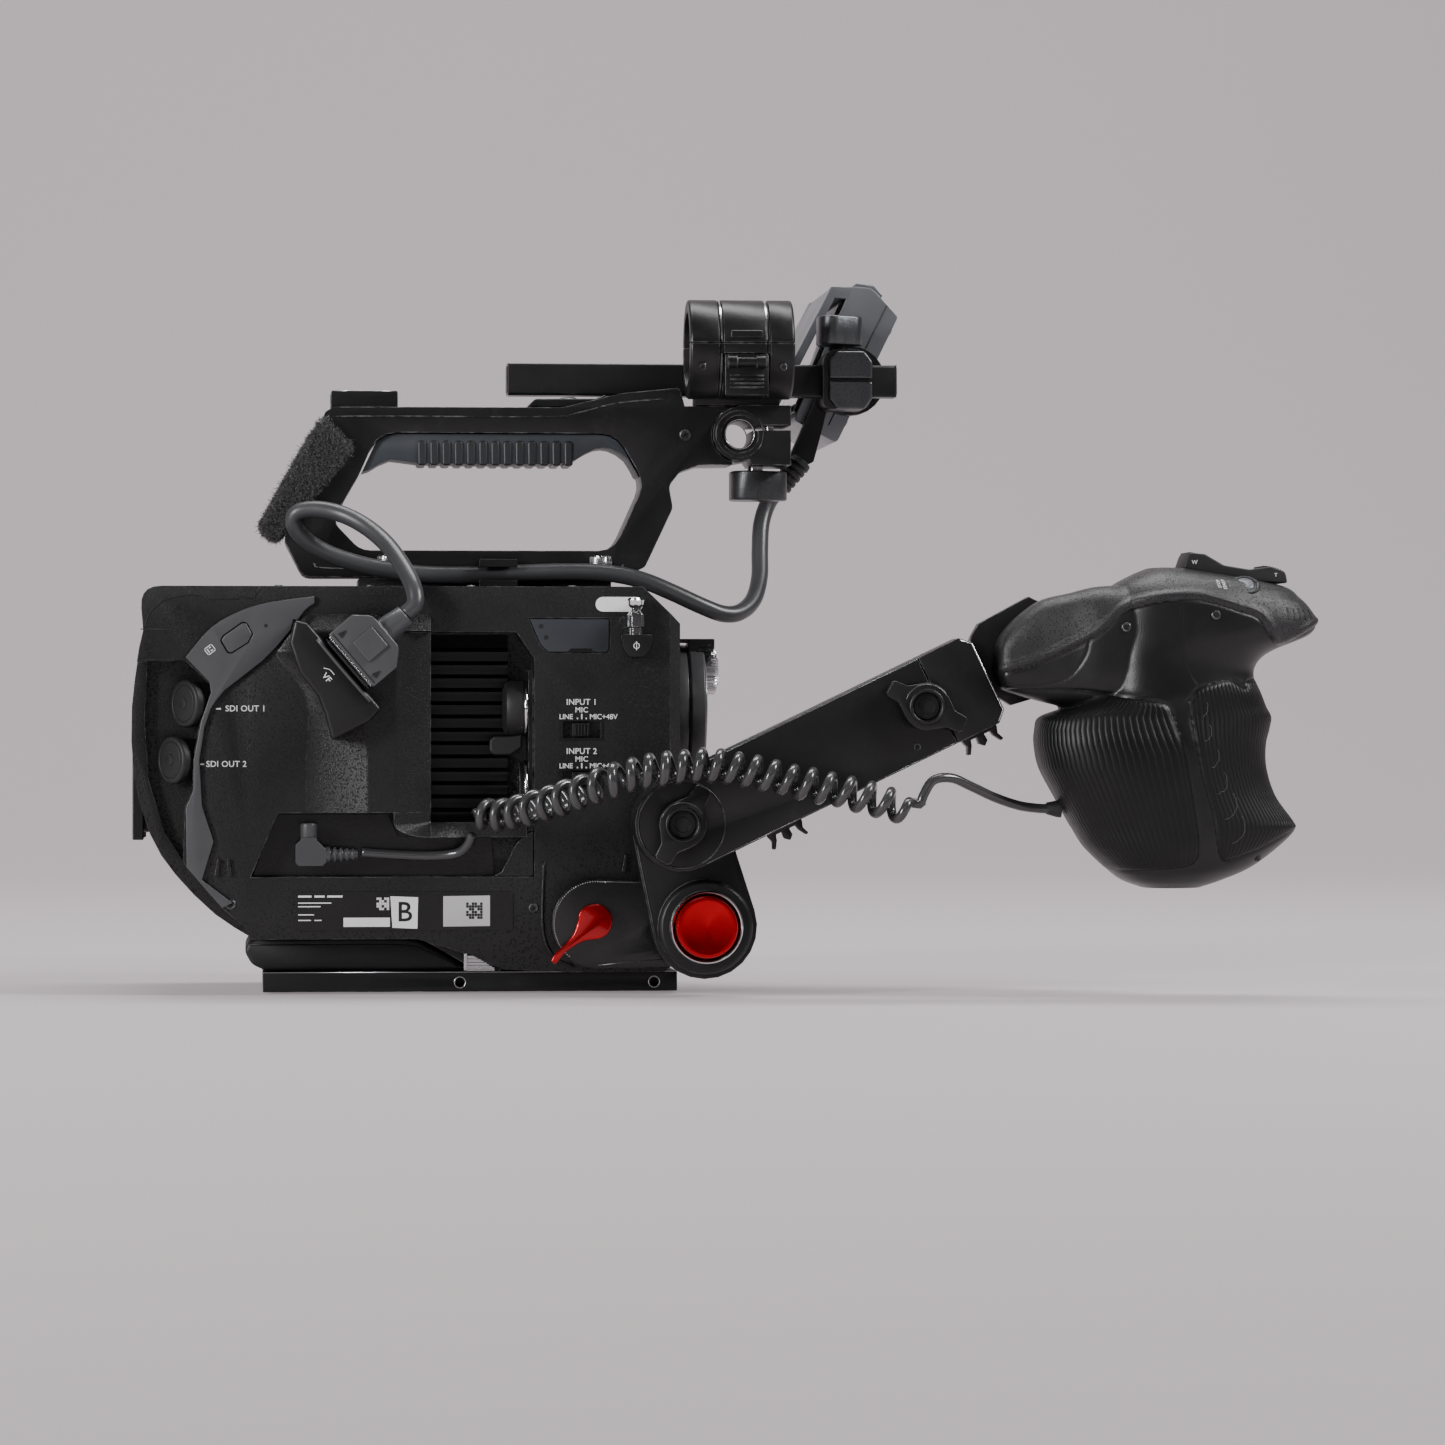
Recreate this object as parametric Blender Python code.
"""Cinema camera rig with shoulder plate, top handle, viewfinder monitor and grip arm.

X points from the camera's back to its lens, Z points up, and the handgrip hangs on
the -Y side. The origin is the centre of the base plate's bottom face. Sizes in this
file are millimetres, and MM turns them into Blender's metres.
"""
import math

import bmesh
import bpy
from mathutils import Matrix, Vector

MM = 0.001
GAP = 0.3                       # clearance between pieces that touch
ROUND = 24                      # sides of an ordinary round piece

# Camera body
BODY_HALF_WIDTH = 60.0
CHASSIS_HALF_WIDTH = 32.0
WALL = 3.0
BODY_TOP = 160.5
BODY_FRONT = 82.6
LENS_AXIS_Z = 112.0
SDI_FLOOR = -46.0               # Y of the floor of the connector bay
LEAD_FLOOR = -52.0              # Y of the floor of the plug bay
VENT_FLOOR = -37.5              # Y of the floor of the fan bay

# Base plate
PLATE_LENGTH = 164.4
PLATE_WIDTH = 90.0
PLATE_THICKNESS = 7.9

# Top handle, rod and microphone holder
HANDLE_HALF_WIDTH = 15.0
ROD_SIDE = 13.0
ROD_CENTRE = (8.5, 246.2)       # Y, Z
MIC_CENTRE = (-21.0, 257.0)     # Y, Z
MIC_RADIUS = 20.0
EVF_BORE = (109.9, 223.3)       # X, Z
MONITOR_HINGE = (158.7, 247.3)  # X, Z
MONITOR_NEAR_Y = 25.4
MONITOR_WIDTH = 92.0

# Grip arm
ARM_PIVOT = (79.8, 67.2)        # X, Z
ARM_ANGLE = math.radians(25.7)
ARM_HALF_WIDTH = 18.35
ARM_Y = (-100.0, -80.0)
ARM_TUBE_LENGTH = 111.0
EAR_Y = (-78.6, -72.0)
ARM_LENGTH = 133.0
GRIP_HINGE = (213.7, 129.2)     # X, Z
BUTTON_AXIS = (90.4, 26.8)      # X, Z of the push button hinge
LINK_Y = (-79.7, -68.0)
BRACKET_Y = (-67.7, -60.3)
GRIP_Y = -90.0
SKIN = 3.0                      # thickness of the grip's rubber

# Cords
VF_CABLE_RADIUS = 3.45
LEAD_RADIUS = 1.65
COIL_RADIUS = 6.75


# ---------------------------------------------------------------- outlines

def rounded(corners):
    """Outline from (u, v, radius) corners, each rounded by an arc of its radius."""
    points = []
    count = len(corners)
    for i, (u, v, radius) in enumerate(corners):
        here = Vector((u, v))
        before = Vector(corners[i - 1][:2]) - here
        after = Vector(corners[(i + 1) % count][:2]) - here
        if radius <= 0:
            points.append((u, v))
            continue
        half = before.angle(after) / 2
        reach = min(radius / math.tan(half), before.length * 0.49, after.length * 0.49)
        start = here + before.normalized() * reach
        end = here + after.normalized() * reach
        steps = max(2, int((math.pi - 2 * half) / 0.4) + 1)
        for step in range(steps + 1):
            t = step / steps
            bezier = start * (1 - t) ** 2 + here * (2 * t * (1 - t)) + end * t ** 2
            points.append((bezier.x, bezier.y))
    return points


def circle(u, v, radius, sides=ROUND, squash=1.0):
    """Outline of a circle, or of an ellipse whose v radius is squash times as long."""
    turns = [2 * math.pi * i / sides for i in range(sides)]
    return [(u + radius * math.cos(a), v + radius * squash * math.sin(a)) for a in turns]


def arc(u, v, radius, start, end, steps):
    """Points of an arc from start to end degrees."""
    turns = [math.radians(start + (end - start) * i / steps) for i in range(steps + 1)]
    return [(u + radius * math.cos(a), v + radius * math.sin(a)) for a in turns]


def belt(first, second, first_radius, second_radius, steps=12):
    """Outline of a belt around two circles of different size."""
    a = Vector(first)
    b = Vector(second)
    heading = math.degrees(math.atan2(b.y - a.y, b.x - a.x))
    lean = math.degrees(math.asin((second_radius - first_radius) / (b - a).length))
    side = 90 + lean
    near = arc(a.x, a.y, first_radius, heading + side, heading + 360 - side, steps)
    far = arc(b.x, b.y, second_radius, heading - side, heading + side, steps)
    return near + far


def smooth(points, steps):
    """Catmull-Rom curve through points of any dimension, steps per span."""
    knots = [Vector(p) for p in points]
    knots = [2 * knots[0] - knots[1]] + knots + [2 * knots[-1] - knots[-2]]
    curve = []
    for i in range(1, len(knots) - 2):
        p0, p1, p2, p3 = knots[i - 1:i + 3]
        for step in range(steps):
            t = step / steps
            curve.append(0.5 * (2 * p1 + (p2 - p0) * t + (2 * p0 - 5 * p1 + 4 * p2 - p3) * t ** 2
                                + (3 * p1 - p0 - 3 * p2 + p3) * t ** 3))
    curve.append(knots[-2])
    return [tuple(p) for p in curve]


def offset(outline, distance):
    """Outline moved outwards by distance, or inwards where it is negative."""
    points = [Vector(p) for p in outline]
    area = sum(points[i - 1].cross(points[i]) for i in range(len(points)))
    turn = 1 if area > 0 else -1
    moved = []
    for i, here in enumerate(points):
        before = (here - points[i - 1]).normalized()
        after = (points[(i + 1) % len(points)] - here).normalized()
        normal = Vector((before.y + after.y, -before.x - after.x)).normalized() * turn
        along = Vector((before.y, -before.x)) * turn
        moved.append(tuple(here + normal * distance / max(0.5, normal.dot(along))))
    return moved


# ---------------------------------------------------------------- solids

def lift(u, v, w, axis):
    """Point at (u, v) of an outline and w along the axis the outline is pushed along."""
    if axis == "X":
        return Vector((w, u, v)) * MM
    if axis == "Y":
        return Vector((u, w, v)) * MM
    return Vector((u, v, w)) * MM


def prism(outline, axis, low, high):
    """Solid of an outline: (Y, Z) pushed along X, (X, Z) along Y or (X, Y) along Z."""
    bm = bmesh.new()
    bottom = [bm.verts.new(lift(u, v, low, axis)) for u, v in outline]
    top = [bm.verts.new(lift(u, v, high, axis)) for u, v in outline]
    bm.faces.new(bottom)
    bm.faces.new(list(reversed(top)))
    for i in range(len(outline)):
        bm.faces.new((bottom[i - 1], top[i - 1], top[i], bottom[i]))
    bmesh.ops.recalc_face_normals(bm, faces=bm.faces)
    return bm


def block(low, high):
    """Box between two corners."""
    outline = [(low[0], low[1]), (high[0], low[1]), (high[0], high[1]), (low[0], high[1])]
    return prism(outline, "Z", low[2], high[2])


def rings(sections, close_ends=True):
    """Skin over a list of closed sections with equal point counts, in metres."""
    bm = bmesh.new()
    loops = [[bm.verts.new(p) for p in section] for section in sections]
    for lower, upper in zip(loops, loops[1:]):
        for i in range(len(lower)):
            bm.faces.new((lower[i - 1], lower[i], upper[i], upper[i - 1]))
    if close_ends:
        bm.faces.new(loops[0])
        bm.faces.new(list(reversed(loops[-1])))
    bmesh.ops.recalc_face_normals(bm, faces=bm.faces)
    return bm


def turned(profile, centre, direction, sides=ROUND):
    """Turned solid: profile of (distance along the axis, radius) from centre."""
    frame = Vector(direction).to_track_quat("Z", "Y").to_matrix()
    start = Vector(centre) * MM
    sections = []
    for distance, radius in profile:
        ring = []
        for u, v in circle(0, 0, radius, sides):
            ring.append(start + frame @ Vector((u, v, distance)) * MM)
        sections.append(ring)
    return rings(sections)


def rod(centre, direction, radius, low, high, sides=ROUND):
    """Plain cylinder from low to high along direction."""
    return turned([(low, radius), (high, radius)], centre, direction, sides)


def material(name, colour, roughness, metallic=0.0):
    """Principled material shared by the pieces that name it."""
    found = bpy.data.materials.get(name)
    if found:
        return found
    made = bpy.data.materials.new(name)
    made.use_nodes = True
    shader = made.node_tree.nodes["Principled BSDF"]
    shader.inputs["Base Color"].default_value = (*colour, 1)
    shader.inputs["Roughness"].default_value = roughness
    shader.inputs["Metallic"].default_value = metallic
    made.diffuse_color = (*colour, 1)
    return made


PAINT = ("speckled_paint", (0.035, 0.035, 0.038), 0.62)
PLASTIC = ("black_plastic", (0.02, 0.02, 0.022), 0.45)
ANODISED = ("black_anodised", (0.015, 0.015, 0.017), 0.35, 0.6)
SATIN = ("satin_grey", (0.09, 0.092, 0.097), 0.4)
RUBBER = ("black_rubber", (0.022, 0.022, 0.024), 0.75)
SILVER = ("bare_metal", (0.62, 0.62, 0.63), 0.25, 1.0)
GREY_METAL = ("grey_metal", (0.16, 0.165, 0.175), 0.35, 0.8)
RED = ("red_anodised", (0.5, 0.005, 0.01), 0.25, 0.8)
CIRCUIT = ("circuit_green", (0.02, 0.12, 0.06), 0.5)
CABLE = ("cable_jacket", (0.05, 0.052, 0.056), 0.42)
LOOP_PILE = ("loop_pile", (0.05, 0.05, 0.052), 0.95)


def piece(name, bm, finish, origin=None):
    """Object of one sub-part, with its origin moved to a joint axis where it has one."""
    mesh = bpy.data.meshes.new(name)
    bm.to_mesh(mesh)
    bm.free()
    made = bpy.data.objects.new(name, mesh)
    bpy.context.scene.collection.objects.link(made)
    mesh.materials.append(material(*finish))
    if origin:
        place = Vector(origin) * MM
        mesh.transform(Matrix.Translation(-place))
        made.location = place
        bpy.context.view_layer.update()
    return made


def combine(target, bm, operation):
    """Bakes a boolean of the solid bm into target."""
    mesh = bpy.data.meshes.new("helper")
    bm.to_mesh(mesh)
    bm.free()
    helper = bpy.data.objects.new("helper", mesh)
    bpy.context.scene.collection.objects.link(helper)
    change = target.modifiers.new("change", "BOOLEAN")
    change.operation = operation
    change.object = helper
    bpy.context.view_layer.update()
    graph = bpy.context.evaluated_depsgraph_get()
    baked = bpy.data.meshes.new_from_object(target.evaluated_get(graph))
    target.modifiers.clear()
    finish = target.data.materials[0]
    target.data = baked
    baked.materials.clear()
    baked.materials.append(finish)
    bpy.data.objects.remove(helper, do_unlink=True)


def cut(target, *solids):
    for solid in solids:
        combine(target, solid, "DIFFERENCE")


def join(target, *solids):
    for solid in solids:
        combine(target, solid, "UNION")


def keep(target, solid):
    combine(target, solid, "INTERSECT")


def arm_point(along, across):
    """X and Z of a point along the arm from its pivot, and across it."""
    cos = math.cos(ARM_ANGLE)
    sin = math.sin(ARM_ANGLE)
    return (ARM_PIVOT[0] + along * cos - across * sin, ARM_PIVOT[1] + along * sin + across * cos)


# ---------------------------------------------------------------- camera body

def body_outline():
    """Side view of the body: tall, with a large round at the lower back."""
    back = smooth([(-130.6, 136.0), (-133.6, 113.0), (-132.8, 86.0), (-126.4, 62.7),
                   (-116.6, 47.0), (-101.0, 31.2), (-86.0, 21.5)], 2)
    corner = rounded([(-129.0, 143.0, 0), (-130.4, BODY_TOP, 26), (-96.0, BODY_TOP, 0)])
    under = [(-22.0, 21.5), (-2.0, 15.8), (12.0, 9.4), (40.0, 8.2), (76.0, 8.2)]
    front = [(BODY_FRONT, 14.0), (BODY_FRONT, 146.0), (67.5, BODY_TOP)]
    return back + under + front + list(reversed(corner))


def sdi_bay():
    return [(-127.4, 131.2), (-128.6, 108.0), (-127.0, 84.0), (-121.0, 64.0), (-113.5, 52.0),
            (-112.6, 73.3), (-109.7, 80.4), (-109.7, 92.0), (-106.6, 107.8), (-102.6, 118.5),
            (-103.0, 122.0), (-112.6, 131.2)]


def lead_bay():
    return [(-76.3, 71.2), (-87.0, 46.0), (24.5, 46.0), (24.5, 71.2)]


def vent_bay():
    return [(-16.2, 62.0), (24.5, 62.0), (24.5, 132.0), (17.5, 142.4), (-16.2, 142.4)]


def sdi_caps():
    """Centre of each dust cap; both lean outwards and back."""
    return [(-107.8, -52.1, 114.2), (-113.0, -52.1, 92.0)]


SDI_DIRECTION = (-0.82, -0.572, 0.0)
DISPLAY_BUTTON = [(-98.4, 139.0), (-97.6, 140.6), (-90.2, 145.9), (-88.6, 145.6), (-86.4, 141.4),
                  (-88.1, 138.3), (-94.5, 134.2), (-95.8, 134.6)]
RIM_Y = -50.0
REAR_RIM = [(-140.0, 130.6), (-126.2, 130.6), (-127.6, 108.0), (-126.0, 84.3), (-120.0, 64.5),
            (-112.6, 50.9), (-99.0, 34.6), (-89.0, 26.0), (-84.0, 15.0), (-140.0, 15.0)]
VF_SOCKET = [(-70.0, 146.9), (-64.6, 145.6), (-36.0, 112.1), (-41.0, 107.1), (-55.3, 99.8),
             (-58.0, 110.0), (-60.8, 117.2), (-67.9, 126.4), (-71.8, 138.0)]
SWITCH_Z = (104.0, 84.6)
SIDE_COVER = [(22.8, 147.6), (27.0, 137.6), (30.0, 134.7), (53.0, 134.7), (54.0, 136.0),
              (54.0, 147.6)]


def make_chassis():
    outline = body_outline()
    chassis = piece("chassis", prism(outline, "Y", -CHASSIS_HALF_WIDTH, CHASSIS_HALF_WIDTH), PAINT)
    cut(chassis, prism(offset(outline, -4.0), "Y", -40, 40))
    throat = rod((70, 0, LENS_AXIS_Z), (1, 0, 0), 23.0, 0, 20)
    battery_slot = block((-140, -22, 62.6), (-120, 22, 104.4))
    cut(chassis, throat, battery_slot)
    rail = prism(rounded([(-44, 160.0, 0), (-44, 164.7, 1), (58, 164.7, 1), (58, 160.0, 0)]),
                 "Y", -13, 13)
    join(chassis, rail)


def casing_cavity(side, bays):
    """Hollow of a side casing, kept clear of the walls of its bays."""
    inner = offset(body_outline(), -WALL)
    reach = BODY_HALF_WIDTH - WALL
    open_side = CHASSIS_HALF_WIDTH - 1
    low, high = sorted((side * reach, side * open_side))
    cavity = piece("cavity", prism(inner, "Y", low, high), PLASTIC)
    for outline, floor in bays:
        cut(cavity, prism(offset(outline, 2.5), "Y", -70, floor + 2.5))
    bm = bmesh.new()
    bm.from_mesh(cavity.data)
    bpy.data.objects.remove(cavity, do_unlink=True)
    return bm


def make_right_casing():
    bays = [(sdi_bay(), SDI_FLOOR), (lead_bay(), LEAD_FLOOR), (vent_bay(), VENT_FLOOR)]
    inner_face = -CHASSIS_HALF_WIDTH - GAP
    shell = prism(body_outline(), "Y", -BODY_HALF_WIDTH, inner_face)
    casing = piece("casing_right", shell, PAINT)
    cut(casing, casing_cavity(-1, bays + [(REAR_RIM, RIM_Y)]))
    for outline, floor in bays:
        cut(casing, prism(outline, "Y", -70, floor))
    cut(casing, prism(REAR_RIM, "Y", -70, RIM_Y))
    for centre in sdi_caps():
        cut(casing, rod(centre, SDI_DIRECTION, 9.2, -6.5, 7.5))
        join(casing, rod(centre, SDI_DIRECTION, 6.0, -14.0, 3.0, 16))
    for z in SWITCH_Z:
        cut(casing, block((35.8, -62, z - 3.4), (50.9, -58.0, z + 3.4)))
    cut(casing, prism(offset(DISPLAY_BUTTON, 0.5), "Y", -62, -58.8))
    cut(casing, prism([(77.8, -60.5), (83.2, -60.5), (83.2, -54.6)], "Z", 0.0, 170.0))
    cut(casing, prism(offset(SIDE_COVER, 0.4), "Y", -62, -58.8))


def make_left_casing():
    inner_face = CHASSIS_HALF_WIDTH + GAP
    shell = prism(body_outline(), "Y", inner_face, BODY_HALF_WIDTH)
    casing = piece("casing_left", shell, PAINT)
    cut(casing, casing_cavity(1, []))
    cut(casing, prism([(77.8, 60.5), (83.2, 60.5), (83.2, 54.6)], "Z", 0.0, 170.0))


def make_side_strip():
    """Crescent of satin trim around the back of the right casing."""
    outer = smooth([(-62.0, 156.4), (-78.4, 154.2), (-90.4, 150.9), (-102.3, 144.2),
                    (-112.4, 132.4)], 3)
    left = [(-103.0, 122.6), (-102.5, 118.5), (-106.2, 107.8), (-109.3, 92.0), (-109.3, 80.4),
            (-112.2, 73.3), (-112.0, 50.0), (-98.0, 34.0)]
    right = [(-94.0, 36.0), (-106.0, 45.0), (-101.5, 60.0), (-106.0, 74.0), (-107.0, 92.0),
             (-105.0, 105.0)]
    inner = smooth([(-102.6, 112.0), (-97.2, 119.4), (-82.4, 131.0), (-72.4, 141.8),
                    (-66.0, 150.6), (-62.0, 153.6)], 2)
    strip = piece("side_strip", prism(outer + left + right + inner, "Y", -61.8, -60.3), SATIN)
    cut(strip, prism(offset(DISPLAY_BUTTON, 0.4), "Y", -64, -58))
    cut(strip, prism(offset(VF_SOCKET, 0.4), "Y", -64, -58))
    piece("display_button", prism(DISPLAY_BUTTON, "Y", -62.2, -59.9), SATIN, (-92.4, -61, 140.4))


def make_sdi_caps():
    for number, centre in enumerate(sdi_caps(), 1):
        profile = [(-6.0, 8.2), (-5.0, 8.6), (3.0, 8.8), (3.4, 9.5), (6.0, 9.5), (6.8, 8.8)]
        cap = piece("sdi_cap_%d" % number, turned(profile, centre, SDI_DIRECTION, 20), RUBBER,
                    centre)
        cut(cap, rod(centre, SDI_DIRECTION, 6.4, -10.0, 3.4, 16))


def make_vent():
    """Comb of horizontal slats at the back of the fan bay, and the audio sockets."""
    pitch = 5.3
    comb = [(-38.0, 63.0), (-38.0, 141.6)]
    count = 14
    for i in reversed(range(count)):
        z = 64.4 + i * pitch
        comb += [(-39.4, z + 3.2), (-42.2, z + 1.6), (-42.2, z + 0.4), (-39.4, z + 0.4)]
    comb.append((-39.4, 63.0))
    piece("vent_grille", prism(comb, "X", -15.7, 14.9), PLASTIC)
    plate = block((22.2, -59.0, 64.2), (24.2, -38.0, 127.4))
    panel = piece("xlr_panel", plate, ANODISED)
    join(panel, rod((22.4, -48.8, 112.2), (-1, 0, 0), 10.4, 0, 7.0, 20))
    join(panel, rod((22.4, -48.8, 80.4), (-1, 0, 0), 10.4, 0, 3.6, 20))
    cut(panel, rod((22.4, -48.8, 80.4), (-1, 0, 0), 8.4, 0.5, 9.0, 20))


def make_right_controls():
    for number, z in enumerate(SWITCH_Z, 1):
        knob = block((39.5, -61.0, z - 2.6), (46.3, -58.4, z + 2.6))
        piece("input_switch_%d" % number, knob, PLASTIC, (43, -60, z))
    piece("side_cover", prism(SIDE_COVER, "Y", -60.2, -59.2), GREY_METAL)
    base = rounded([(58.0, 141.4, 1), (59.4, 136.0, 3), (61.5, 132.6, 2), (67.0, 132.6, 2),
                    (69.6, 136.0, 3), (71.0, 141.4, 1)])
    hook = piece("tape_hook", prism(base, "Y", -68.0, -60.3), PLASTIC)
    post = turned([(0, 2.4), (4.0, 2.4), (4.2, 3.2), (8.6, 3.2), (10.6, 1.7), (11.6, 1.7),
                   (13.0, 3.0), (15.0, 3.0)], (64.3, -64.6, 140.0), (0, 0, 1), 16)
    join(hook, post)


def make_viewfinder_socket():
    piece("vf_socket", prism(VF_SOCKET, "Y", -76.0, -60.3), PLASTIC)
    along = Vector((0.649, -0.760))
    out = Vector((0.760, 0.649))
    middle = Vector((-50.3, 128.85))

    def place(e, n):
        point = middle + along * e + out * n
        return (point.x, point.y)
    collar = [place(-11.5, 0.5), place(11.5, 0.5), place(11.5, 3.4), place(-11.5, 3.4)]
    shell = [(-13.5, 3.0, 1), (-13.5, 15.0, 1), (-8.0, 21.0, 4), (8.0, 21.0, 4), (13.5, 15.0, 1),
             (13.5, 3.0, 1)]
    plug = piece("vf_plug", prism(collar, "Y", -74.0, -64.0), PLASTIC)
    shell_outline = [place(u, v) for u, v in rounded(shell)]
    join(plug, prism(shell_outline, "Y", -78.0, -62.0))
    tip = place(0, 20.0)
    boot = turned([(0, 5.4), (4, 5.2), (11.2, 4.2)], (tip[0], -70.0, tip[1]),
                  (out.x, 0, out.y), 16)
    join(plug, boot)


def make_grip_plug():
    """Right-angle plug of the grip's lead, with its ribbed relief along X."""
    plug = piece("grip_plug", block((-70.0, -64.0, 52.4), (-58.5, -54.0, 67.0)), CABLE)
    relief = [(0, 3.4)]
    for i in range(5):
        relief += [(1.6 + i * 2.6, 3.2 - i * 0.15), (2.0 + i * 2.6, 2.5 - i * 0.1),
                   (3.2 + i * 2.6, 2.5 - i * 0.1), (3.6 + i * 2.6, 3.1 - i * 0.15)]
    join(plug, turned(relief, (-59.0, -59.0, 55.6), (1, 0, 0), 12))


def make_lens_mount():
    axis = (0, 0, LENS_AXIS_Z)
    base = turned([(82.9, 25.0), (84.4, 26.4), (88.7, 26.4)], axis, (1, 0, 0), 32)
    mount = piece("mount_base", base, ANODISED)
    cut(mount, rod((80, 0, LENS_AXIS_Z), (1, 0, 0), 22.0, 0, 12, 32))
    ring = piece("lock_ring", turned([(89.0, 26.2), (90.0, 27.2), (95.0, 27.2), (95.8, 26.4)],
                                     axis, (1, 0, 0), 32), ANODISED, axis)
    tab = [(16.0, 89.2), (16.0, 97.6), (20.0, 99.5), (27.4, 99.5), (27.4, 89.2)]
    teeth = [(LENS_AXIS_Z + r, x) for r, x in tab]
    lever = prism([(x, z) for z, x in teeth], "Y", -13.0, -3.0)
    join(ring, lever)
    cut(ring, rod((85, 0, LENS_AXIS_Z), (1, 0, 0), 22.0, 0, 20, 32))
    for i in range(3):
        z = LENS_AXIS_Z + 19.5 + i * 2.6
        cut(ring, block((98.6, -14, z), (101, -2, z + 1.1)))
    knob = [(0.0, 7.9), (0.6, 8.7), (4.2, 8.4), (4.9, 7.6)]
    centre = (96.1, 12.0, 127.4)
    piece("mount_knob", turned(knob, centre, (1, 0, 0)), SILVER, centre)


def make_inner_parts():
    """What the body holds: the sensor block, the board, the fan and the battery."""
    sensor = piece("sensor_block", block((62.0, -26.0, 84.0), (78.0, 26.0, 140.0)), ANODISED)
    cut(sensor, block((72.0, -13.0, 104.0), (82.0, 13.0, 120.0)))
    piece("main_board", block((-60.0, 14.0, 40.0), (56.0, 22.0, 140.0)), CIRCUIT)
    fan = piece("cooling_fan", block((-24.0, -30.0, 82.0), (24.0, -14.0, 130.0)), PLASTIC)
    cut(fan, rod((0, -40, 106), (0, 1, 0), 21.5, 0, 22, 20))
    hub = rod((0, -29, 106), (0, 1, 0), 9.0, 0, 12.0, 12)
    spoke = block((-22.5, -20.0, 103.0), (22.5, -17.4, 109.0))
    cross = block((-3.0, -20.0, 83.0), (3.0, -17.4, 129.0))
    join(fan, hub, spoke, cross)
    battery = block((-130.6, -21.5, 63.0), (-66.0, 21.5, 104.0))
    piece("battery_pack", battery, PLASTIC, (-130.6, 0, 83.5))


def make_left_controls():
    door = rounded([(-39.7, 62.0, 2), (-39.7, 128.0, 2), (32.0, 128.0, 5), (32.0, 62.0, 5)])
    piece("media_door", prism(door, "Y", 60.4, 62.6), PLASTIC, (-40.2, 61.5, 95))
    dial = turned([(60.4, 11.5), (65.5, 11.0), (66.3, 10.2)], (60, 0, 58), (0, 1, 0))
    piece("nd_dial", dial, GREY_METAL, (60, 60, 58))


# ---------------------------------------------------------------- base plate

def make_base():
    half_length = PLATE_LENGTH / 2
    half_width = PLATE_WIDTH / 2
    edge = rounded([(-half_length, 0, 0.5), (half_length, 0, 0.5),
                    (half_length, PLATE_THICKNESS, 0.5), (-half_length, PLATE_THICKNESS, 0.5)])
    plate = piece("base_plate", prism(edge, "Y", -half_width, half_width), ANODISED)
    cut(plate, rod((-17.5, 0, -1), (0, 0, 1), 4.75, 0, 10, 16))
    for x in (-56.0, 56.0):
        cut(plate, rod((x, 0, -1), (0, 0, 1), 3.2, 0, 10, 12))
    for x in (-4.2, 73.0):
        cut(plate, rod((x, -46, 3.7), (0, 1, 0), 1.8, 0, 9, 12))
    riser = [(12.0, 7.0), (12.0, 8.8), (-2.0, 15.1), (-18.0, 19.8), (-15.0, 18.3), (-6.2, 13.3),
             (1.6, 8.9), (2.0, 7.0)]
    join(plate, prism(riser, "Y", -42.0, 42.0))
    pad = smooth([(-60.0, 21.2), (-26.0, 21.1), (-16.0, 17.8), (-7.0, 12.6), (0.6, 8.2)], 3)
    nose = [(-81.0, 8.2), (-86.6, 10.8), (-89.4, 16.0), (-88.2, 19.4), (-83.6, 21.2)]
    piece("shoulder_pad", prism(nose + pad, "Y", -38.0, 38.0), RUBBER)


# ---------------------------------------------------------------- top handle

HANDLE_WINDOW = [(-43.6, 206.3, 3), (-51.3, 193.0, 8), (-53.4, 186.9, 4), (-43.0, 176.0, 9),
                 (59.0, 176.0, 10), (71.4, 203.5, 10), (60.0, 223.4, 12), (-36.0, 223.4, 12)]


def evf_clamp_outline(grow=0.0):
    points = [(109.9, 235.0), (130.6, 235.0), (130.6, 210.8), (115.0, 210.8)]
    points += arc(109.9, 223.3, 11.0, 290, 120, 9)
    return offset(points, grow)


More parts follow.
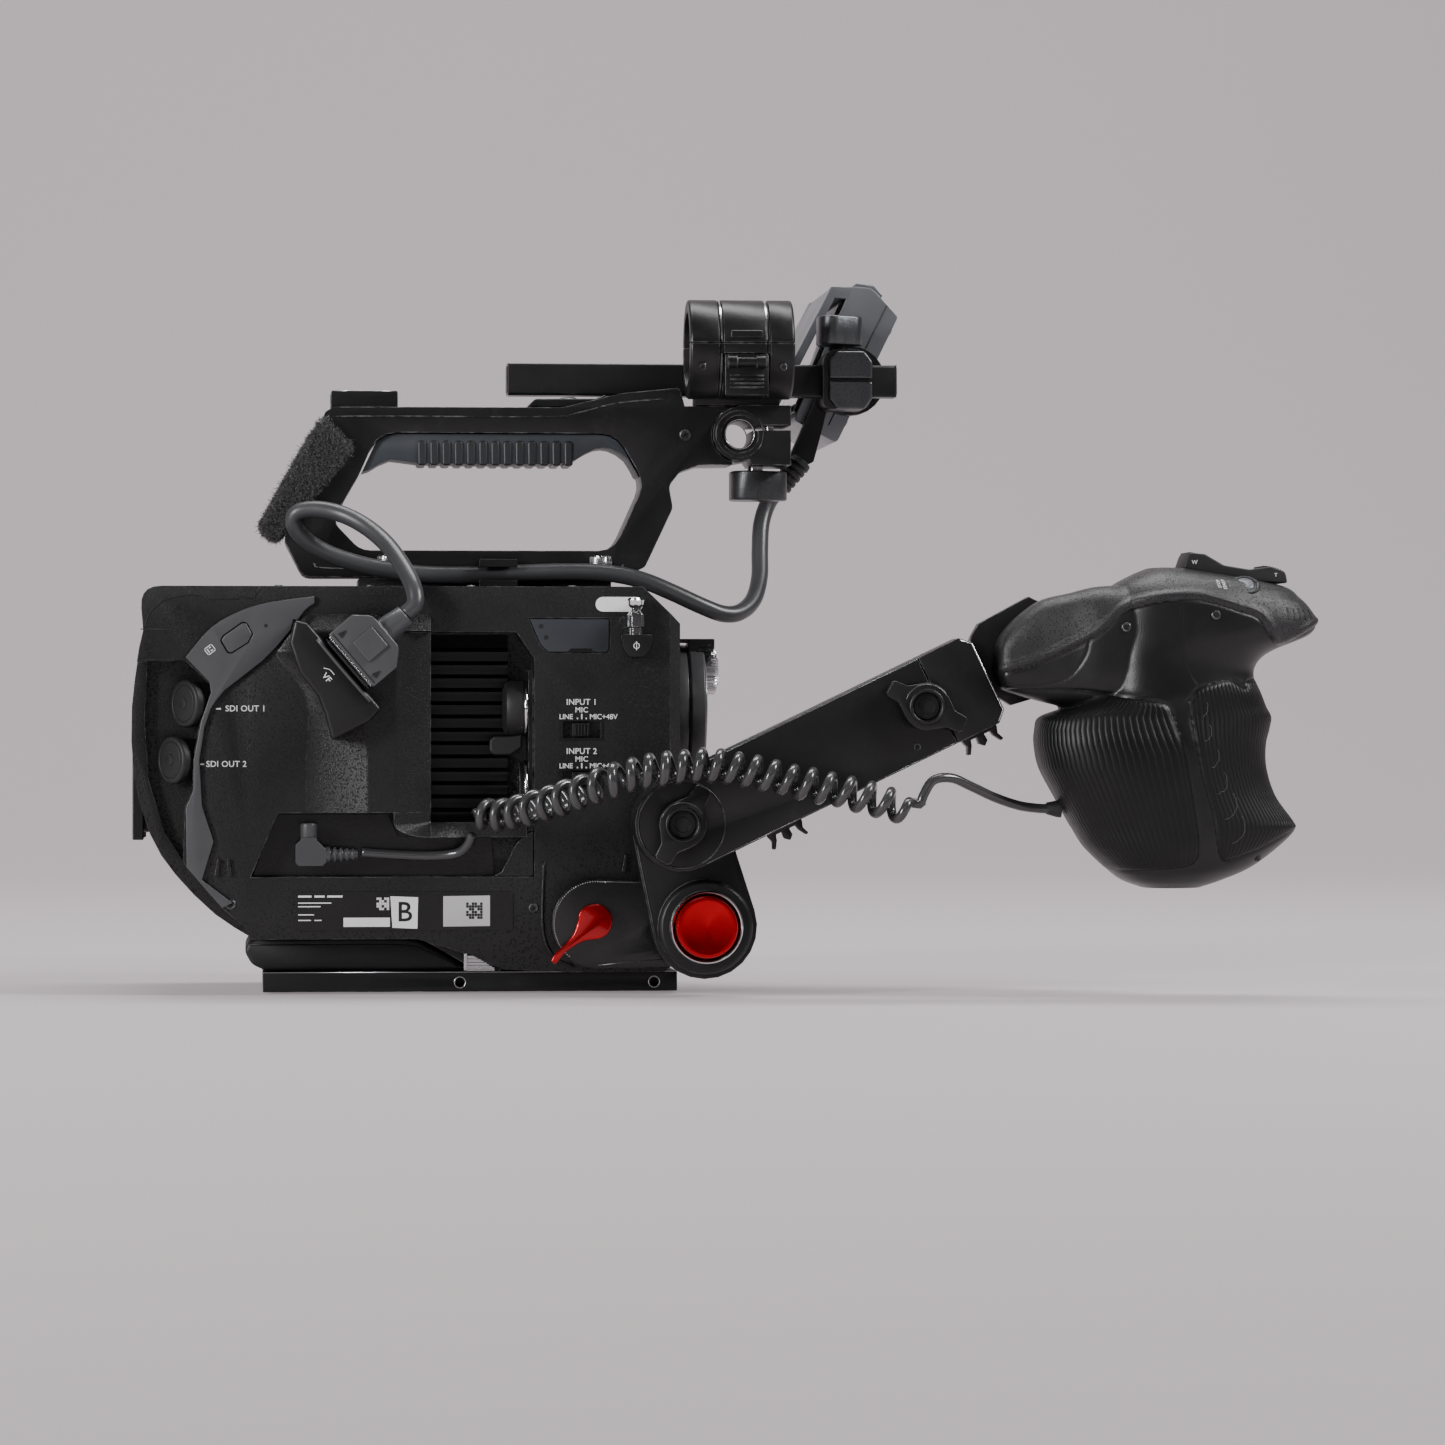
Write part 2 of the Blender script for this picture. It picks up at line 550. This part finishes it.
def make_handle():
    outline = rounded([(-66.0, 165.2, 5), (62.0, 165.2, 5), (71.6, 169.4, 3), (82.9, 193.4, 4),
                       (81.3, 202.3, 4), (85.7, 208.0, 5), (93.9, 210.8, 2), (107.0, 211.0, 0),
                       (107.0, 234.6, 0), (87.7, 234.6, 0), (85.6, 242.0, 2), (62.0, 239.6, 12),
                       (38.4, 233.8, 12), (-53.6, 233.6, 2), (-57.2, 231.6, 2),
                       (-73.6, 180.0, 4)])
    handle = piece("handle_frame", prism(outline, "Y", -HANDLE_HALF_WIDTH, HANDLE_HALF_WIDTH),
                   ANODISED)
    window = rounded(HANDLE_WINDOW)
    cut(handle, prism(window, "Y", -20, 20))
    cut(handle, block((0, 1.4, 239.2), (110, 20, 260)))
    cut(handle, prism(evf_clamp_outline(0.35), "Y", -20, 20))
    for x in (-31.8, 53.8):
        join(handle, rod((x, -12.5, 169.8), (0, 0, 1), 4.6, 0, 4.0, 16))
    liner_top = [(-42.4, 207.6), (-35.2, 223.1), (59.8, 223.1), (70.8, 204.4)]
    liner_under = smooth([(68.6, 206.6), (64.6, 213.4), (58.0, 217.4), (52.0, 217.4),
                          (46.0, 214.4), (40.0, 211.6), (20.0, 211.0), (-20.0, 211.4),
                          (-31.0, 212.8), (-39.6, 208.4)], 2)
    liner = rounded([(u, v, 0) for u, v in liner_top]) + liner_under
    rubber = piece("handle_rubber", prism(liner, "Y", -13.0, 13.0), RUBBER)
    keep(rubber, prism(offset(window, -0.35), "Y", -20, 20))
    shoe = piece("accessory_shoe", prism(rounded([(-54.8, 233.9, 0), (-27.9, 233.9, 0),
                                                  (-27.9, 240.4, 1), (-54.8, 240.4, 1)]),
                                         "Y", -11.0, 11.0), ANODISED)
    cut(shoe, block((-60, -9.4, 235.4), (-30.5, 9.4, 238.4)))
    cut(shoe, block((-60, -6.3, 237.0), (-30.5, 6.3, 242)))


def make_velcro():
    """Loop pile patch on the slanted back of the handle."""
    outline = rounded([(-58.4, 229.2, 1), (-45.8, 217.0, 3), (-77.2, 180.2, 2), (-83.0, 185.4, 2)])
    pad = piece("velcro_pad", prism(outline, "Y", -19.0, 19.0), LOOP_PILE)
    slot = [(-57.4, 240.0), (-30.0, 240.0), (-30.0, 170.0), (-76.8, 170.0)]
    cut(pad, prism(slot, "Y", -15.4, 15.4))


def make_mic_holder():
    y, z = MIC_CENTRE
    split = 258.4
    low_x, high_x = 88.0, 130.0

    def drum():
        groove = [(0, 19.4), (0.8, MIC_RADIUS), (11.6, MIC_RADIUS), (12.0, 19.0), (13.0, 19.0),
                  (13.4, MIC_RADIUS), (30.4, MIC_RADIUS), (30.8, 19.0), (31.8, 19.0),
                  (32.2, MIC_RADIUS), (41.2, MIC_RADIUS), (42.0, 19.4)]
        return turned(groove, (low_x, y, z), (1, 0, 0), 32)
    bore = (low_x - 5, y, z)
    base = piece("mic_holder_base", drum(), ANODISED)
    foot = block((92.0, -15.0, 235.0), (126.0, 0.0, 245.0))
    join(base, foot)
    yoke = block((94.0, -4.0, 235.4), (124.0, 18.0, 255.6))
    join(base, yoke)
    half = ROD_SIDE / 2 + GAP
    cut(base, block((80, ROD_CENTRE[0] - half, ROD_CENTRE[1] - half),
                    (140, ROD_CENTRE[0] + half, ROD_CENTRE[1] + half)))
    cut(base, rod(bore, (1, 0, 0), 15.0, 0, 60, 24), block((80, -50, split), (140, 0.0, 290)))
    cut(base, block((101.0, -50.0, 234.0), (120.0, -37.6, 254.4)))
    lid = piece("mic_holder_lid", drum(), ANODISED, (109, -1.2, split))
    cut(lid, rod(bore, (1, 0, 0), 15.0, 0, 60, 24), block((80, -50, 230), (140, 10, split + GAP)))
    latch = [(-37.9, 254.0), (-37.9, 240.0), (-41.0, 237.2), (-42.6, 237.4), (-42.6, 250.0),
             (-41.4, 254.0)]
    piece("mic_latch", prism(latch, "X", 101.6, 119.2), ANODISED, (110, -39.6, 239))


def make_rod():
    half = ROD_SIDE / 2
    y, z = ROD_CENTRE
    outline = rounded([(y - half, z - half, 1.2), (y + half, z - half, 1.2),
                       (y + half, z + half, 1.2), (y - half, z + half, 1.2)])
    piece("vf_rod", prism(outline, "X", 17.0, 175.8), ANODISED)


def clamp_knob(name, x, y, low, high, lobe):
    """Three-lobed clamping knob on a vertical screw."""
    outline = []
    for i in range(36):
        turn = 2 * math.pi * i / 36
        radius = lobe + 1.3 * math.cos(3 * turn)
        outline.append((x + radius * math.cos(turn), y + radius * math.sin(turn)))
    piece(name, prism(outline, "Z", low, high), GREY_METAL, (x, y, low))


def make_evf_clamp():
    clamp = piece("evf_clamp", prism(evf_clamp_outline(), "Y", -17.0, 17.0), ANODISED)
    x, z = EVF_BORE
    cut(clamp, rod((x, -30, z), (0, 1, 0), 5.6, 0, 60))
    cut(clamp, rod((x, -18, z), (0, 1, 0), 7.6, 0, 3.0))
    cut(clamp, block((x + 3, -30, z + 1.6), (140, 30, z + 3.6)))
    clamp_knob("evf_clamp_knob", 117.6, 0.0, 197.0, 208.9, 11.7)


def make_monitor():
    """Clamp that slides on the rod, its knob, and the monitor that tilts on it."""
    x, z = MONITOR_HINGE
    half = ROD_SIDE / 2 + GAP
    block_outline = rounded([(145.2, 234.4, 4), (164.4, 234.4, 4), (164.4, 259.0, 7),
                             (145.2, 259.0, 7)])
    clamp = piece("vf_clamp", prism(block_outline, "Y", -2.0, 19.0), GREY_METAL)
    cut(clamp, block((140, ROD_CENTRE[0] - half, ROD_CENTRE[1] - half),
                     (170, ROD_CENTRE[0] + half, ROD_CENTRE[1] + half)))
    join(clamp, rod((x, 18, z), (0, 1, 0), 14.3, 0, 7.0))
    join(clamp, rod((151.8, 7.2, 258.6), (0, 0, 1), 3.5, 0, 1.9, 12))
    relief_arm = [(150.0, 238.0), (143.6, 214.0), (137.2, 210.6), (133.0, 214.6), (146.0, 244.0)]
    join(clamp, prism(relief_arm, "Y", 19.4, 24.6))
    boot = turned([(0, 4.4), (3, 4.6), (14, 3.9)], (138.6, 22.0, 214.6), (-0.62, -0.1, -0.78), 12)
    join(clamp, boot)
    clamp_knob("vf_clamp_knob", 151.8, 7.2, 260.8, 272.8, 9.2)
    low_y = MONITOR_NEAR_Y
    high_y = MONITOR_NEAR_Y + MONITOR_WIDTH
    shell = rounded([(153.8, 222.0, 2), (179.3, 274.2, 2), (168.5, 286.0, 6), (160.0, 286.6, 2),
                     (136.0, 231.4, 2)])
    monitor = piece("monitor", prism(shell, "Y", low_y, high_y), GREY_METAL, (x, low_y, z))
    frame = [(126.4, 238.0), (151.6, 286.6), (160.8, 286.4), (159.0, 281.4), (153.0, 282.0),
             (129.4, 236.4)]
    hood = prism(frame, "Y", low_y, high_y)
    join(monitor, hood)
    window = [(120.0, 232.0), (160.0, 300.0), (145.0, 300.0), (112.0, 236.0)]
    cut(monitor, prism(window, "Y", low_y + 8, high_y - 8))


# ---------------------------------------------------------------- grip arm

def make_bracket():
    hub = (48.5, 27.6)
    bracket = piece("side_bracket", prism(belt(hub, BUTTON_AXIS, 17.5, 16.0), "Y", *BRACKET_Y),
                    ANODISED)
    cut(bracket, rod((BUTTON_AXIS[0], -70, BUTTON_AXIS[1]), (0, 1, 0), 8.3, 0, 12))
    x, z = 47.7, 28.6
    tail = smooth([(x - 6.4, z + 1.2), (x - 9.0, z - 6.0), (x - 15.6, z - 12.6),
                   (x - 17.4, z - 15.6)], 3)
    back = smooth([(x - 15.4, z - 16.8), (x - 11.4, z - 12.0), (x - 5.0, z - 8.0),
                   (x + 1.0, z - 6.9)], 3)
    head = arc(x, z, 7.0, -70, 160, 12)
    lever = prism(tail + back + head, "Y", -72.6, -68.0)
    piece("bracket_lever", lever, RED, (x, -68, z))


def make_link():
    """Swing link with the push button hinge below and the arm's hinge above."""
    pivot_x, pivot_z = ARM_PIVOT
    x, z = BUTTON_AXIS
    link = piece("link_plate", prism(belt(ARM_PIVOT, BUTTON_AXIS, 18.3, 20.6), "Y", *LINK_Y),
                 ANODISED, (x, -68, z))
    join(link, turned([(-1.0, 18.4), (6.6, 18.4), (7.8, 17.2)], (x, -79.0, z), (0, -1, 0), 32))
    join(link, turned([(0, 14.2), (3.0, 14.2), (3.6, 13.8)], (x, -86.0, z), (0, -1, 0), 32))
    cut(link, rod((x, -81.0, z), (0, -1, 0), 12.9, 0, 20, 32))
    join(link, rod((x, -69.0, z), (0, 1, 0), 8.0, 0, 8.0))
    join(link, rod((pivot_x, -79.0, pivot_z), (0, -1, 0), 5.0, 0, 20.7, 16))
    button = turned([(0, 12.4), (6.8, 12.4), (8.0, 11.6), (8.4, 10.6)], (x, -83.6, z),
                    (0, -1, 0), 32)
    piece("push_button", button, RED, (x, -83.6, z))


def make_arm():
    tube = list(reversed(arc(0, 0, ARM_HALF_WIDTH, 90, 270, 12)))
    tube += [(ARM_TUBE_LENGTH, ARM_HALF_WIDTH), (ARM_TUBE_LENGTH, -ARM_HALF_WIDTH)]
    outline = [arm_point(s, t) for s, t in tube]
    pivot = (ARM_PIVOT[0], -90, ARM_PIVOT[1])
    arm = piece("arm_tube", prism(outline, "Y", *ARM_Y), ANODISED, pivot)
    bore = [arm_point(s, t) for s, t in [(26, -15.3), (120, -15.3), (120, 15.3), (26, 15.3)]]
    cut(arm, prism(bore, "Y", -97.0, -83.0))
    cut(arm, rod((ARM_PIVOT[0], -110, ARM_PIVOT[1]), (0, 1, 0), 5.3, 0, 40, 16))
    bar = [arm_point(s, t) for s, t in [(34, -15.0), (112, -15.0), (112, 15.0), (34, 15.0)]]
    inner = piece("arm_extension", prism(bar, "Y", -96.7, -83.3), ANODISED, pivot)
    head = [(111.3, -ARM_HALF_WIDTH), (129.0, -ARM_HALF_WIDTH), (ARM_LENGTH, -14.4),
            (ARM_LENGTH, 14.4), (129.0, ARM_HALF_WIDTH), (111.3, ARM_HALF_WIDTH)]
    join(inner, prism([arm_point(s, t) for s, t in head], "Y", *ARM_Y))
    ear = [(190.0, 126.0), (196.0, 141.0), (198.6, 145.6), (218.6, 156.4), (226.0, 153.0),
           (228.6, 144.0), (226.0, 124.0), (219.6, 116.0), (211.6, 113.6), (205.4, 117.4),
           (199.0, 118.0)]
    join(inner, prism(ear, "Y", *EAR_Y))
    join(inner, prism([(190.0, 126.0), (195.0, 139.0), (206.0, 118.6), (197.0, 114.0)],
                      "Y", -82.0, EAR_Y[1]))
    join(inner, rod((GRIP_HINGE[0], EAR_Y[0] + 1, GRIP_HINGE[1]), (0, -1, 0), 6.0, 0, 17.0, 20))
    join(arm, cable_clip(36.0))
    join(inner, cable_clip(121.0))


def cable_clip(along):
    """Three-clawed cable clip under the arm, centred at a distance from the pivot."""
    low = -ARM_HALF_WIDTH
    claw = [(-7.4, 1.0), (7.4, 1.0), (7.4, -1.2), (6.6, -3.6), (7.8, -6.4), (6.6, -6.8),
            (4.8, -3.8), (4.2, -1.6), (1.6, -1.6), (1.8, -4.4), (0.0, -6.0), (-1.8, -4.4),
            (-1.6, -1.6), (-4.2, -1.6), (-4.8, -3.8), (-6.6, -6.8), (-7.8, -6.4), (-6.6, -3.6),
            (-7.4, -1.2)]
    return prism([arm_point(along + s, low + t) for s, t in claw], "Y", -93.0, -87.0)


def wing_lever(name, centre, heading):
    """Two-winged clamping lever with a recessed hub."""
    x, z = centre
    outline = []
    for turn in (heading, heading + 180):
        tip = Vector((math.cos(math.radians(turn)), math.sin(math.radians(turn))))
        side = Vector((-tip.y, tip.x))
        hub = Vector((x, z))
        waist = hub + tip * 10.6
        outline += arc(x, z, 9.3, turn - 128, turn - 42, 5)
        for across, along in ((-3.7, 0), (-3.4, 5.0), (-2.4, 6.0), (2.4, 6.0), (3.4, 5.0), (3.7, 0)):
            point = waist + side * across + tip * along
            outline.append((point.x, point.y))
    low, high = -105.6, -100.3
    lever = piece(name, prism(outline, "Y", low, high), ANODISED, (x, high, z))
    cut(lever, rod((x, low - 2, z), (0, 1, 0), 5.5, 0, 5.0, 20))


# ---------------------------------------------------------------- handgrip

GRIP_LEVELS = [  # height, back X, front X, half thickness
    (42.0, 262.0, 284.0, 13.0), (45.0, 254.0, 293.0, 19.0), (50.0, 247.5, 304.5, 24.0),
    (58.0, 239.2, 315.5, 26.5), (64.5, 235.0, 322.0, 27.2), (68.0, 232.8, 321.4, 27.6),
    (78.0, 227.3, 314.2, 29.0), (89.0, 221.5, 310.6, 30.0), (98.0, 219.6, 310.4, 30.0),
    (104.0, 219.8, 311.8, 29.0), (109.0, 221.6, 312.6, 28.0), (113.0, 232.0, 310.6, 27.4),
    (118.0, 242.0, 308.6, 27.0), (125.5, 244.0, 305.6, 26.4), (131.0, 244.0, 307.6, 26.2),
    (135.4, 244.0, 313.8, 26.2), (141.0, 244.0, 327.4, 26.2), (146.4, 244.0, 330.8, 26.0),
    (152.0, 245.0, 327.8, 25.6), (156.0, 247.0, 323.8, 24.6), (160.4, 250.0, 317.5, 21.6),
    (164.4, 257.0, 297.0, 16.8), (167.4, 264.0, 280.0, 10.0)]


def grip_solid(shrink=0.0):
    """Whole handgrip: superellipse sections stacked along Z, fuller on the palm side."""
    sections = []
    low, high = GRIP_LEVELS[0][0], GRIP_LEVELS[-1][0]
    squeeze = 1 - 2 * shrink / (high - low)
    for z, back, front, thick in GRIP_LEVELS:
        middle = (back + front) / 2
        half = (front - back) / 2 - shrink
        height = (low + high) / 2 + (z - (low + high) / 2) * squeeze
        section = []
        for i in range(28):
            turn = 2 * math.pi * i / 28
            cos, sin = math.cos(turn), math.sin(turn)
            u = math.copysign(abs(cos) ** 0.8, cos)
            v = math.copysign(abs(sin) ** 0.8, sin)
            egg = 1 - 0.16 * u
            y = GRIP_Y + (thick - shrink) * v * egg
            section.append(Vector((middle + half * u, y, height)) * MM)
        sections.append(section)
    return rings(sections)


def grip_neck():
    """Neck between the hinge and the grip, rounded around the hinge."""
    x, z = GRIP_HINGE
    sections = []
    for along, low, high, near, far in (
            (204.2, 123.4, 137.0, -101.0, -82.0), (206.4, 119.8, 142.0, -103.6, -79.2),
            (213.0, 117.4, 149.0, -105.0, -79.0), (221.5, 115.0, 154.8, -106.4, -79.0),
            (232.0, 112.6, 157.4, -109.0, -79.0), (243.0, 111.6, 160.0, -112.4, -77.0),
            (256.0, 112.0, 160.4, -113.0, -70.0), (266.0, 114.0, 160.0, -110.0, -72.0)):
        middle, half = (low + high) / 2, (high - low) / 2
        centre, width = (near + far) / 2, (far - near) / 2
        section = []
        for i in range(20):
            turn = 2 * math.pi * i / 20
            cos, sin = math.cos(turn), math.sin(turn)
            y = centre + width * math.copysign(abs(cos) ** 0.6, cos)
            up = middle + half * math.copysign(abs(sin) ** 0.6, sin)
            section.append(Vector((along, y, up)) * MM)
        sections.append(section)
    return rings(sections)


TOP_SEAM = [(190.0, 122.0), (205.0, 125.6), (222.0, 131.0), (241.0, 140.4), (250.0, 148.4),
            (256.0, 151.6), (268.0, 154.0), (281.0, 154.2), (296.0, 150.0), (304.0, 147.0),
            (309.4, 139.2), (313.5, 136.6), (322.0, 140.2), (340.0, 150.0)]
PALM_PATCH = [(210.0, 118.0), (234.7, 119.4), (251.7, 116.4), (266.0, 114.8), (270.0, 112.0),
              (274.2, 94.2), (277.8, 74.4), (280.0, 60.0), (278.0, 52.0), (262.0, 49.4),
              (244.0, 49.4), (210.0, 60.0)]
FINGER_PATCH = [(275.6, 114.8), (279.2, 119.8), (292.5, 123.6), (299.7, 120.8), (305.4, 124.0),
                (345.0, 124.0), (345.0, 72.0), (322.5, 65.4), (294.0, 53.2), (288.6, 55.0),
                (285.4, 71.0), (281.2, 85.2), (277.8, 103.0)]


def grip_piece(name, patches, finish):
    """Grip with its neck and hinge hole, less the rubber patches."""
    x, z = GRIP_HINGE
    grip = piece(name, grip_solid(), finish, (x, GRIP_Y, z))
    neck = piece("neck", grip_neck(), finish)
    for patch in patches:
        cut(grip, prism(offset(patch, GAP), "Y", -130, -50))
        cut(neck, prism(offset(patch, GAP), "Y", -130, -50))
    if patches:
        join(grip, grip_solid(SKIN + GAP))
    solid = bmesh.new()
    solid.from_mesh(neck.data)
    bpy.data.objects.remove(neck, do_unlink=True)
    join(grip, solid)
    cut(grip, rod((x, EAR_Y[0] + 1.5, z), (0, -1, 0), 6.3, 0, 18.0, 20))
    return grip


def make_grip():
    above = TOP_SEAM + [(340.0, 190.0), (190.0, 190.0)]
    tray = [(273.6, 165.0), (319.6, 158.6), (330.0, 180.0), (273.6, 180.0)]
    button_axis = Vector((0, -0.6, 0.8))
    button_seat = (299.7, -106.4, 159.6)
    top = grip_piece("grip_top_shell", [], PAINT)
    keep(top, prism(above, "Y", -130, -50))
    cut(top, prism(tray, "Y", -99.4, -76.6))
    cut(top, rod(button_seat, button_axis, 4.4, -3.6, 10, 20))

    core = grip_piece("grip_core", [PALM_PATCH, FINGER_PATCH], PLASTIC)
    cut(core, prism(offset(above, GAP), "Y", -130, -50))
    cavity = piece("cavity", grip_solid(SKIN + 4.0), PLASTIC)
    cut(cavity, block((0, -200, 112), (400, 0, 200)))
    hollow = bmesh.new()
    hollow.from_mesh(cavity.data)
    bpy.data.objects.remove(cavity, do_unlink=True)
    cut(core, hollow)
    cut(core, rod((272, GRIP_Y, 35), (0, 0, 1), 3.0, 0, 20, 12))
    for name, patch in (("grip_palm_rubber", PALM_PATCH), ("grip_finger_rubber", FINGER_PATCH)):
        rubber = piece(name, grip_solid(), RUBBER, (GRIP_HINGE[0], GRIP_Y, GRIP_HINGE[1]))
        keep(rubber, prism(patch, "Y", -130, -50))
        cut(rubber, grip_solid(SKIN))

    rocker = rounded([(276.8, 167.2, 1), (279.0, 173.4, 2), (285.4, 172.8, 3), (293.0, 168.4, 4),
                      (303.0, 166.8, 4), (311.5, 168.0, 3), (317.2, 166.0, 2), (318.2, 161.4, 1),
                      (298.0, 162.2, 6)])
    piece("zoom_rocker", prism(rocker, "Y", -99.0, -77.0), RUBBER, (298, GRIP_Y, 162.6))
    button = turned([(-1.6, 4.0), (1.4, 4.0), (2.2, 3.2)], button_seat, button_axis, 16)
    piece("rec_button", button, GREY_METAL, button_seat)


# ---------------------------------------------------------------- cords

def cord(name, route, radius, sides_factor):
    """Round cord along a smooth curve through its route points, with closed ends."""
    curve = bpy.data.curves.new(name, "CURVE")
    curve.dimensions = "3D"
    curve.bevel_depth = radius * MM
    curve.bevel_resolution = sides_factor
    curve.use_fill_caps = True
    points = smooth(route, 2)
    spline = curve.splines.new("POLY")
    spline.points.add(len(points) - 1)
    for slot, (x, y, z) in zip(spline.points, points):
        slot.co = (x * MM, y * MM, z * MM, 1)
    made = bpy.data.objects.new(name, curve)
    bpy.context.scene.collection.objects.link(made)
    curve.materials.append(material(*CABLE))


VF_CABLE_ROUTE = [
    (129.4, 20.4, 203.0), (124.6, 18.6, 196.6), (121.6, 15.0, 188.0), (120.4, 9.0, 177.0),
    (119.6, 2.0, 166.0), (116.4, -6.0, 156.8), (110.6, -12.6, 151.6), (103.4, -17.2, 150.6),
    (94.0, -20.4, 153.8), (82.0, -22.0, 159.2), (70.0, -22.6, 164.0), (56.0, -22.4, 166.8),
    (38.0, -20.4, 167.4), (18.0, -19.6, 166.8), (-2.0, -19.8, 166.0), (-22.0, -20.6, 166.6),
    (-40.0, -21.8, 169.4), (-54.0, -23.2, 173.6), (-64.0, -24.4, 179.0), (-69.6, -26.0, 185.4),
    (-68.4, -28.0, 190.4), (-60.6, -30.0, 191.8), (-50.4, -33.4, 189.6), (-41.0, -39.6, 184.4),
    (-33.2, -48.4, 177.2), (-27.4, -58.0, 168.6), (-23.4, -66.4, 160.0), (-22.8, -69.6, 153.4),
    (-26.4, -70.0, 149.2)]

LEAD_ROUTE = [(-43.4, -59.0, 55.6), (-34.0, -59.2, 54.9), (-24.0, -60.0, 54.4),
              (-14.0, -62.0, 54.3), (-6.0, -65.0, 55.4), (-2.0, -68.2, 58.8), (-0.4, -70.6, 63.0)]

COIL_ROUTE = [(0.4, -73.0, 69.8), (14.0, -82.0, 71.2), (31.0, -99.0, 76.4), (47.0, -112.4, 82.6),
              (62.3, -115.4, 87.4), (85.5, -115.6, 90.4), (101.0, -115.6, 88.8),
              (124.3, -115.6, 83.6), (141.7, -115.6, 80.0), (157.3, -115.2, 75.8),
              (166.6, -114.4, 73.6)]
COIL_CUTS = (4, 6)              # route points where the coil passes to the next body

TAIL_ROUTE = [(170.6, -114.0, 73.0), (172.6, -113.6, 78.8), (176.6, -112.4, 84.4),
              (184.0, -109.6, 85.2), (192.0, -106.0, 82.0), (202.0, -101.0, 77.6),
              (212.0, -95.6, 74.4), (220.0, -91.8, 73.2), (226.6, -90.2, 72.9)]


def make_cords():
    cord("vf_cable", VF_CABLE_ROUTE, VF_CABLE_RADIUS, 2)
    cord("grip_lead", LEAD_ROUTE, LEAD_RADIUS, 2)
    sections = coil_sections(0.0)
    shortened = coil_sections(-GAP)
    marks = [0] + [3 * c for c in COIL_CUTS] + [len(sections) - 1]
    for number, (first, last) in enumerate(zip(marks, marks[1:]), 1):
        stretch = sections[first:last] + [shortened[last]]
        piece("grip_coil_%d" % number, rings(stretch), CABLE)
    cord("grip_tail", TAIL_ROUTE, LEAD_RADIUS, 2)


def coil_sections(slide):
    """Rings of the coil's outer shape, square across its centre line and slid along it."""
    centres = [Vector(p) for p in smooth(COIL_ROUTE, 3)]
    sections = []
    for i, here in enumerate(centres):
        before = centres[max(i - 1, 0)]
        after = centres[min(i + 1, len(centres) - 1)]
        heading = (after - before).normalized()
        side = heading.cross(Vector((0, 0, 1))).normalized()
        up = side.cross(heading)
        ring = []
        for u, v in circle(0, 0, COIL_RADIUS, 12):
            ring.append((here + heading * slide + side * u + up * v) * MM)
        sections.append(ring)
    return sections


def build():
    for old in list(bpy.data.objects):
        bpy.data.objects.remove(old, do_unlink=True)
    make_chassis()
    make_right_casing()
    make_left_casing()
    make_side_strip()
    make_sdi_caps()
    make_vent()
    make_right_controls()
    make_viewfinder_socket()
    make_grip_plug()
    make_lens_mount()
    make_inner_parts()
    make_left_controls()
    make_base()
    make_handle()
    make_velcro()
    make_mic_holder()
    make_rod()
    make_evf_clamp()
    make_monitor()
    make_bracket()
    make_link()
    make_arm()
    wing_lever("wing_lever_lower", ARM_PIVOT, 60.0)
    wing_lever("wing_lever_upper", arm_point(105.6, 0.0), -27.0)
    make_grip()
    make_cords()


build()
